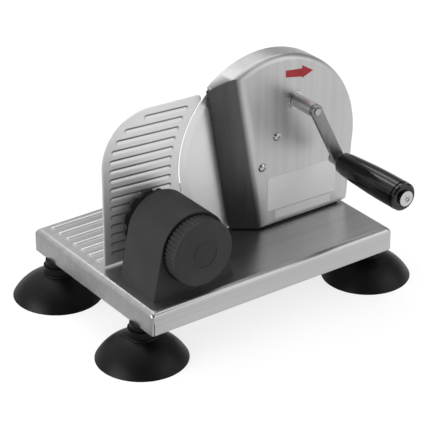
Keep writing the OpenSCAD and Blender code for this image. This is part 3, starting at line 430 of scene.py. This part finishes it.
# casing: beside the fold between its face and the slanted deflector it is cut into strips, and each point of them
# moves in by the fall of a round: its distance from the round's start squared, over twice the radius
casingFold = {"reach": 5.0 * mm, "strips": 6, "frontLimit": 0.999, "slantLimit": 0.5, "cutGap": 1e-7,
              "onFace": 2e-6}


def isFront(face):
    return face.normal.y < -casingFold["frontLimit"]


def isSlant(face):
    return face.normal.x < -casingFold["slantLimit"] and face.normal.y < -casingFold["slantLimit"]


def isFold(edge):
    return len(edge.link_faces) == 2 and any(map(isFront, edge.link_faces)) and any(map(isSlant, edge.link_faces))


def cutStrips(work, chosen, foot, away):
    for step in range(1, casingFold["strips"] + 1):
        faces = [face for face in work.faces if chosen(face)]
        parts = list({part for face in faces for part in (face, *face.edges, *face.verts)})
        spot = foot + away * (casingFold["reach"] * step / casingFold["strips"])
        bmesh.ops.bisect_plane(work, geom=parts, dist=casingFold["cutGap"], plane_co=spot, plane_no=away)


casingWork = mergedCopy("casing")
fold = max(filter(isFold, casingWork.edges), key=lambda edge: edge.calc_length())
foldFoot, foldTop = sorted((vert.co.copy() for vert in fold.verts), key=lambda spot: spot.z)
foldRun = (foldTop - foldFoot).normalized()
frontNormal = next(face.normal.copy() for face in fold.link_faces if isFront(face))
slantNormal = next(face.normal.copy() for face in fold.link_faces if isSlant(face))
halfBend = frontNormal.angle(slantNormal) / 2
frontAway, slantAway = foldRun.cross(frontNormal), foldRun.cross(slantNormal)
frontAway *= math.copysign(1, frontAway.x)
slantAway *= -math.copysign(1, slantAway.x)
cutStrips(casingWork, isFront, foldFoot, frontAway)
cutStrips(casingWork, isSlant, foldFoot, slantAway)
casingShell = placeCopy(casingWork, "casingShell", "casing", "base")

shellPoints = np.empty(len(casingShell.data.vertices) * 3, dtype=np.float32)
casingShell.data.vertices.foreach_get("co", shellPoints)
shellPoints = shellPoints.reshape(-1, 3).astype(float)
foldLine, frontOut, slantOut = np.array(foldRun), np.array(frontNormal), np.array(slantNormal)
fromFoot = shellPoints - np.array(foldFoot)
foldNear = np.linalg.norm(fromFoot - (fromFoot @ foldLine)[:, None] * foldLine, axis=1)
onFront = np.abs(fromFoot @ frontOut) < casingFold["onFace"]
onSlant = np.abs(fromFoot @ slantOut) < casingFold["onFace"]
foldRound = casingFold["reach"] / math.tan(halfBend)
roundFall = np.clip(casingFold["reach"] - foldNear, 0, None)**2 / (2 * foldRound)
bisector = (frontOut + slantOut) / (2 * math.cos(halfBend))
moved = np.where(onFront[:, None], frontOut, slantOut) * roundFall[:, None]
moved = np.where((onFront & onSlant)[:, None], bisector * foldRound * (1 / math.cos(halfBend) - 1), moved)
shellPoints -= np.where((onFront | onSlant)[:, None], moved, 0)
casingShell.data.vertices.foreach_set("co", shellPoints.ravel())
# painted shade: on the slanted deflector the share of the darker tone rises from nothing at the fold to full past
# the round, standing in for the dark reflection that face shows
slantShadeTone = np.where(onSlant, np.clip(foldNear / casingFold["reach"], 0, 1), 0)
slantShadeShare = casingShell.data.attributes.new("slantShade", "FLOAT", "POINT")
slantShadeShare.data.foreach_set("value", slantShadeTone.astype(np.float32))
casingShell.data.update()
evenNormals(casingShell)
print("casing folded, half bend", math.degrees(halfBend))

# tray: its upright corners are rounded a little
trayMid = (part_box("tray")[0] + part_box("tray")[1]) / 2
trayHalf = (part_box("tray")[1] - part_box("tray")[0]) / 2
trayEdge = {"width": 2.4 * mm, "steps": 4, "near": 6.0 * mm, "angle": 8, "even": 0.3 * mm, "outward": 1e-5}


def isTrayCorner(edge):
    middle = (edge.verts[0].co + edge.verts[1].co) / 2 - trayMid
    fromSide, fromFront = trayHalf.x - abs(middle.x), trayHalf.y - abs(middle.y)
    atCorner = max(fromSide, fromFront) < trayEdge["near"] and abs(fromSide - fromFront) < trayEdge["even"]
    outward = all(face.normal.x * middle.x + face.normal.y * middle.y > trayEdge["outward"]
                  for face in edge.link_faces)
    return atCorner and outward and isBent(edge, trayEdge["angle"])


trayShell = softened("trayShell", "tray", "base", trayEdge, isTrayCorner)
evenNormals(trayShell)

# housing: small rounds on its outer edges, none on the seam with its back wall or at its foot
housingEdge = {"width": 0.9 * mm, "steps": 3, "angle": 40, "seamY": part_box("adjuster_housing")[1].y,
               "floorZ": 55.4 * mm, "near": 0.1 * mm}


def isHousingEdge(edge):
    onSeam = any(abs(vert.co.y - housingEdge["seamY"]) < housingEdge["near"] for vert in edge.verts)
    onFloor = any(vert.co.z < housingEdge["floorZ"] for vert in edge.verts)
    return isBent(edge, housingEdge["angle"]) and not onSeam and not onFloor


softened("housingShell", "adjuster_housing", "base", housingEdge, isHousingEdge)

# crank arm: its flat bar has broken edges
armEdge = {"width": 0.5 * mm, "steps": 2, "angle": 50}
softened("crankBar", "crank_arm", "crank", armEdge, lambda edge: isBent(edge, armEdge["angle"]))

# stop plate, in millimetres: rows up the sheet, each from its left edge to its right edge
sheet = {"rows": 380, "columns": 110, "left": -116.5, "low": 57.0, "top": 191.2, "cornerRound": 44.8, "fall": 2.0,
         "notch": 86.8, "tip": 4.0, "toe": -14.2, "toeTop": 90.5, "topGap": 0.03, "leastWide": 0.02,
         "front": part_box("stop_plate")[0].y / mm, "thick": 1.5, "edgeRound": 0.5, "edgeReach": 0.8, "sharp": 50}
flute = {"count": 15, "pitch": 8.48, "fall": 3.3, "top": 183.3, "end": 35.6, "notch": 97.0,
         "deep": 0.95, "half": 2.5, "upperWall": 2.3, "lowerSlope": 4.8}
bladeX, bladeZ = bladeAxis[0] / mm, bladeAxis[2] / mm
arcX, arcZ = sheet["left"] + sheet["cornerRound"], sheet["top"] - sheet["cornerRound"]


# half the width of a circle at a height above its middle
def halfChord(radius, above):
    return np.sqrt(np.maximum(0, radius**2 - above**2))


# left edge: straight, then a quarter round; right edge: toe, notch about the blade's axis, tip, sloped top
# the tip is a small circle that touches the top from below and the notch's circle from outside
def sheetEdges(z):
    fall = math.radians(sheet["fall"])
    normal, run = np.array([math.sin(fall), math.cos(fall)]), np.array([math.cos(fall), -math.sin(fall)])
    bladeAt, start = np.array([bladeX, bladeZ]), np.array([arcX, arcZ]) + sheet["cornerRound"] * normal
    fromBlade = start - sheet["tip"] * normal - bladeAt
    along, reach = fromBlade @ run, sheet["notch"] + sheet["tip"]
    tipAt = bladeAt + fromBlade + run * (-along - math.sqrt(along**2 - fromBlade @ fromBlade + reach**2))
    touch = tipAt + (bladeAt - tipAt) * sheet["tip"] / reach
    left = np.where(z > arcZ, arcX - halfChord(sheet["cornerRound"], z - arcZ), sheet["left"])
    notch = bladeX - halfChord(sheet["notch"], z - bladeZ)
    tipRight = tipAt[0] + halfChord(sheet["tip"], z - tipAt[1])
    right = np.where(z > touch[1], tipRight, notch)
    slope = start[0] + (start[1] - z) / math.tan(fall)
    right = np.where(z > (tipAt + sheet["tip"] * normal)[1], slope, right)
    right = np.where(z < sheet["toeTop"], np.minimum(right, sheet["toe"]), right)
    return left, np.maximum(right, left + sheet["leastWide"])


def smoothStep(share):
    return share * share * (3 - 2 * share)


# how deep each point is pressed in, as a share: a steep wall along a flute's upper side and round its ends, a long
# slope below; and its share of painted shade in the crease of that wall, darkest halfway down
def fluteDepth(x, z):
    def heightAt(at):
        return flute["top"] - np.arange(flute["count"]) * flute["pitch"] - (at - arcX) * fall

    def leftAt(height):
        return np.where(height > arcZ, arcX - halfChord(flute["end"], height - arcZ), arcX - flute["end"])

    def rightAt(height):
        return bladeX - halfChord(flute["notch"], height - bladeZ)

    fall = math.tan(math.radians(flute["fall"]))
    left, right = leftAt(heightAt(leftAt(heightAt(arcX)))), rightAt(heightAt(rightAt(heightAt(arcX))))
    startZ, endZ = heightAt(left), heightAt(right)
    runX, runZ = right - left, endZ - startZ
    length = np.hypot(runX, runZ)
    along = ((x[..., None] - left) * runX + (z[..., None] - startZ) * runZ) / length
    above = ((z[..., None] - startZ) * runX - (x[..., None] - left) * runZ) / length
    beyond = np.maximum(np.abs(along - length / 2) - length / 2, 0)
    wall = np.clip((flute["half"] - np.hypot(beyond, np.maximum(above, 0))) / flute["upperWall"], 0, 1)
    slope = smoothStep(np.clip((flute["half"] + above) / flute["lowerSlope"], 0, 1))
    return (smoothStep(wall) * slope).max(-1), (4 * wall * (1 - wall) * slope).max(-1)


rowZ = np.linspace(sheet["low"], sheet["top"] - sheet["topGap"], sheet["rows"])
leftX, rightX = (edge[:, None] for edge in sheetEdges(rowZ))
sheetX = leftX + (rightX - leftX) * np.linspace(0, 1, sheet["columns"])
sheetZ = np.repeat(rowZ[:, None], sheet["columns"], axis=1)
pressed, creaseShade = fluteDepth(sheetX, sheetZ)
pressed *= flute["deep"]
edgeNear = np.minimum(sheetX - leftX, rightX - sheetX)
turnedIn = sheet["edgeRound"] * (1 - np.clip(edgeNear / sheet["edgeReach"], 0, 1))**2
frontFace = np.stack([sheetX, sheet["front"] + pressed + turnedIn, sheetZ], -1)
backFace = np.stack([sheetX, sheet["front"] + sheet["thick"] + pressed - turnedIn, sheetZ], -1)[:, ::-1]
sheetPoints = np.concatenate([frontFace, backFace], axis=1) * mm
lowCap = capFaces(sheet["columns"])
highCap = lowCap[:, ::-1] + (sheet["rows"] - 1) * 2 * sheet["columns"]
sheetFaces = np.concatenate([ringFaces(sheet["rows"], 2 * sheet["columns"]), lowCap, highCap])
flutedPlate = newPiece("flutedPlate", newMesh("flutedPlate", sheetPoints, sheetFaces), finish["plateBrushed"],
                       "gauge", sheet["sharp"], ("stop_plate",))
# painted shade: the crease share is stored on the plate's points and gives the darker tone in the flute creases
creaseShadeTone = np.concatenate([creaseShade, creaseShade[:, ::-1]], axis=1).ravel()
creaseShadeShare = flutedPlate.data.attributes.new("creaseShade", "FLOAT", "POINT")
creaseShadeShare.data.foreach_set("value", creaseShadeTone.astype(np.float32))
print("fluted plate:", len(flutedPlate.data.polygons), "faces")

# flat mark on the casing's face, in millimetres: rows along its length, each from its lower to its upper edge
mark = {"columns": 5, "sunk": 0.3, "sharp": 35, "face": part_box("casing")[0].y / mm}


def newMark(name, along, low, high, proud, material):
    rows, columns = len(along), mark["columns"]
    x = np.repeat(along[:, None], columns, axis=1)
    z = low[:, None] + (high - low)[:, None] * np.linspace(0, 1, columns)
    front = np.stack([x, np.full_like(x, mark["face"] - proud), z], -1)
    back = np.stack([x, np.full_like(x, mark["face"] + mark["sunk"]), z], -1)[:, ::-1]
    points = np.concatenate([front, back], axis=1) * mm
    cap = capFaces(columns)
    faces = np.concatenate([ringFaces(rows, 2 * columns)[:, ::-1], cap[:, ::-1], cap + (rows - 1) * 2 * columns])
    return newPiece(name, newMesh(name, points, faces), finish[material], "base", mark["sharp"])


# arrow for the turn of the crank: half width steps out at the head, then falls to nothing at its point
arrow = {"tail": 55.0, "neck": 72.5, "point": 84.4, "proud": 0.12, "tailLow": 194.5, "tailHigh": 200.8,
         "neckLow": 191.0, "neckHigh": 198.5, "headLow": 189.7, "headHigh": 201.5, "pointZ": 194.0,
         "step": 0.02, "blunt": 0.05}
arrowX = np.array([arrow["tail"], arrow["neck"], arrow["neck"] + arrow["step"], arrow["point"] - arrow["blunt"]])
arrowLow = np.array([arrow["tailLow"], arrow["neckLow"], arrow["headLow"], arrow["pointZ"] - arrow["blunt"]])
arrowHigh = np.array([arrow["tailHigh"], arrow["neckHigh"], arrow["headHigh"], arrow["pointZ"] + arrow["blunt"]])
newMark("turnArrow", arrowX, arrowLow, arrowHigh, arrow["proud"], "arrowPaint")

# blank plates: rectangles with rounded corners, turned a little
blankPlates = {"largeBlank": {"centre": (75.0, 87.2), "size": (75.0, 32.0)},
               "smallBlank": {"centre": (76.5, 65.8), "size": (61.0, 7.5)}}
plateEdge = {"turn": -1.0, "proud": 0.14, "corner": 0.8, "steps": 6, "margin": 0.01}
for name, plate in blankPlates.items():
    halfWide, halfHigh = plate["size"][0] / 2, plate["size"][1] / 2
    corner = plateEdge["corner"]
    fromLeft = corner * (1 - np.cos(np.linspace(0, np.pi / 2, plateEdge["steps"])))
    offX = np.concatenate([-halfWide + fromLeft, halfWide - fromLeft[::-1]])
    fromEnd = np.clip(corner - (halfWide - np.abs(offX)), 0, corner)
    reach = halfHigh - corner + halfChord(corner, fromEnd) + plateEdge["margin"]
    middle = plate["centre"][1] + offX * math.tan(math.radians(plateEdge["turn"]))
    newMark(name, plate["centre"][0] + offX, middle - reach, middle + reach, plateEdge["proud"], "labelBlank")
print("marks made")


# 1 for what the camera sees straight, mirrored or through something, else 0
def directRay(tree, path):
    straight = mathNode(tree, "MAXIMUM", path.outputs["Is Camera Ray"], path.outputs["Is Glossy Ray"])
    return mathNode(tree, "MAXIMUM", straight, path.outputs["Is Transmission Ray"])


# floor: pale with the object's shadow where it is seen; its mirror image fades towards the left
studio = {"floorHalf": 6.0, "floorGlow": 0.74, "floorDiffuse": 0.32, "plainFloor": 0.8,
          "mirrorGlow": 0.66, "dimGlow": 0.17, "dimFrom": -0.06, "dimTo": -0.2}


def makeFloor():
    made = bpy.data.materials.new("paleFloor")
    made.use_nodes = True
    tree = made.node_tree
    tree.nodes.clear()
    out = addNode(tree, "ShaderNodeOutputMaterial")
    path = addNode(tree, "ShaderNodeLightPath")
    plain = addNode(tree, "ShaderNodeBsdfDiffuse", {"Color": (studio["plainFloor"],) * 3 + (1,)})
    seen = addNode(tree, "ShaderNodeBsdfDiffuse", {"Color": (studio["floorDiffuse"],) * 3 + (1,)})
    glow = addNode(tree, "ShaderNodeEmission", {"Color": (1, 1, 1, 1)})
    place = addNode(tree, "ShaderNodeTexCoord")
    spread = addNode(tree, "ShaderNodeSeparateXYZ")
    wire(tree, place, "Object", spread, 0)
    fading = rangeNode(tree, spread.outputs["X"], studio["dimTo"], studio["dimFrom"],
                       studio["dimGlow"], studio["mirrorGlow"])
    shown = addNode(tree, "ShaderNodeMix", {"A": studio["floorGlow"]}, data_type="FLOAT")
    wire(tree, path, "Is Glossy Ray", shown, "Factor")
    tree.links.new(fading, shown.inputs["B"])
    wire(tree, shown, "Result", glow, "Strength")
    both = addNode(tree, "ShaderNodeAddShader")
    pick = addNode(tree, "ShaderNodeMixShader")
    wire(tree, seen, 0, both, 0)
    wire(tree, glow, 0, both, 1)
    tree.links.new(directRay(tree, path), pick.inputs[0])
    wire(tree, plain, 0, pick, 1)
    wire(tree, both, 0, pick, 2)
    wire(tree, pick, 0, out, "Surface")
    return made


floorPoints = np.array([[-1, -1, 0], [1, -1, 0], [1, 1, 0], [-1, 1, 0]]) * studio["floorHalf"]
floorMesh = newMesh("floor", floorPoints, np.array([[0, 1, 2, 3]]))
floorMesh.materials.append(makeFloor())
floor = bpy.data.objects.new("floor", floorMesh)
scene.collection.objects.link(floor)

# world: white round the horizon for what is seen or mirrored, a dimmer studio ceiling above
sky = {"band": 0.08, "bandEnd": 0.2, "leftX": -0.3, "rightX": 0.5, "leftLevel": 0.08, "rightLevel": 0.3,
       "top": 0.3, "topStart": 0.75, "fillSide": 0.85, "fillTop": 0.3}


def makeWorld():
    made = bpy.data.worlds.new("studio")
    made.use_nodes = True
    tree = made.node_tree
    tree.nodes.clear()
    out = addNode(tree, "ShaderNodeOutputWorld")
    path = addNode(tree, "ShaderNodeLightPath")
    place = addNode(tree, "ShaderNodeTexCoord")
    split = addNode(tree, "ShaderNodeSeparateXYZ")
    wire(tree, place, "Generated", split, 0)
    across, height = split.outputs["X"], split.outputs["Z"]
    ceiling = rangeNode(tree, across, sky["leftX"], sky["rightX"], sky["leftLevel"], sky["rightLevel"])
    low = rangeNode(tree, height, sky["band"], sky["bandEnd"], 1.0, 0.0)
    high = rangeNode(tree, height, sky["topStart"], 1.0, 0.0, sky["top"])
    seen = mathNode(tree, "MAXIMUM", low, mathNode(tree, "ADD", ceiling, high))
    level = addNode(tree, "ShaderNodeMix", data_type="FLOAT")
    tree.links.new(rangeNode(tree, height, 0.0, 1.0, sky["fillSide"], sky["fillTop"]), level.inputs["A"])
    tree.links.new(directRay(tree, path), level.inputs["Factor"])
    tree.links.new(seen, level.inputs["B"])
    glow = addNode(tree, "ShaderNodeBackground", {"Color": (1, 1, 1, 1)})
    wire(tree, level, "Result", glow, "Strength")
    wire(tree, glow, 0, out, "Surface")
    return made


scene.world = makeWorld()


# place of a lamp or camera: its right, its back, which points away from what it faces, and where it is
def facing(right, back, at):
    turn = np.eye(4)
    turn[:3, 0], turn[:3, 1], turn[:3, 2], turn[:3, 3] = right, np.cross(back, right), back, at
    return Matrix(turn.tolist())


lamps = {"key": {"at": (1.5, -1.9, 1.5), "size": (2.6, 2.2), "watts": 21.0},
         "left": {"at": (-2.1, 0.1, 0.8), "size": (1.6, 1.2), "watts": 26.0},
         "back": {"at": (-0.22, 0.55, 0.62), "size": (1.34, 0.95), "watts": 2.9},
         "strip": {"at": (-0.06, 0.58, 0.84), "size": (0.17, 0.34), "watts": 0.55},
         "slope": {"at": (0.43, 0.45, 0.83), "size": (0.42, 0.34), "watts": 0.65},
         "top": {"at": (0.2, 0.2, 2.4), "size": (1.4, 1.4), "watts": 6.0}}
lampAim = np.array([0, 0, 0.1])
for name, lamp in lamps.items():
    light = bpy.data.lights.new(name, "AREA")
    light.shape = "RECTANGLE"
    light.size, light.size_y = lamp["size"]
    light.energy = lamp["watts"]
    holder = bpy.data.objects.new(name, light)
    scene.collection.objects.link(holder)
    away = np.array(lamp["at"]) - lampAim
    away /= np.linalg.norm(away)
    side = np.cross((0, 0, 1), away)
    side /= np.linalg.norm(side)
    holder.matrix_world = facing(side, away, lamp["at"])
    holder.visible_camera = False
print("studio lit")

# camera: long lens, turned to the object's left and raised
shot = {"azimuth": -35.94, "elevation": 27.90, "fromTray": (-0.9053, -1.2516, 0.8856),
        "focalPixels": 2006.4, "frame": 430, "sensor": 36.0}
azimuth, elevation = math.radians(shot["azimuth"]), math.radians(shot["elevation"])
shotRight = np.array([math.cos(azimuth), math.sin(azimuth), 0])
shotBack = np.array([math.sin(azimuth) * math.cos(elevation), -math.cos(azimuth) * math.cos(elevation),
                     math.sin(elevation)])
lens = bpy.data.cameras.new("camera")
lens.sensor_width = shot["sensor"]
lens.lens = shot["sensor"] * shot["focalPixels"] / shot["frame"]
camera = bpy.data.objects.new("camera", lens)
scene.collection.objects.link(camera)
camera.matrix_world = facing(shotRight, shotBack, np.array(shot["fromTray"]) + (0, trayMid.y, 0))
scene.camera = camera
print("camera set")
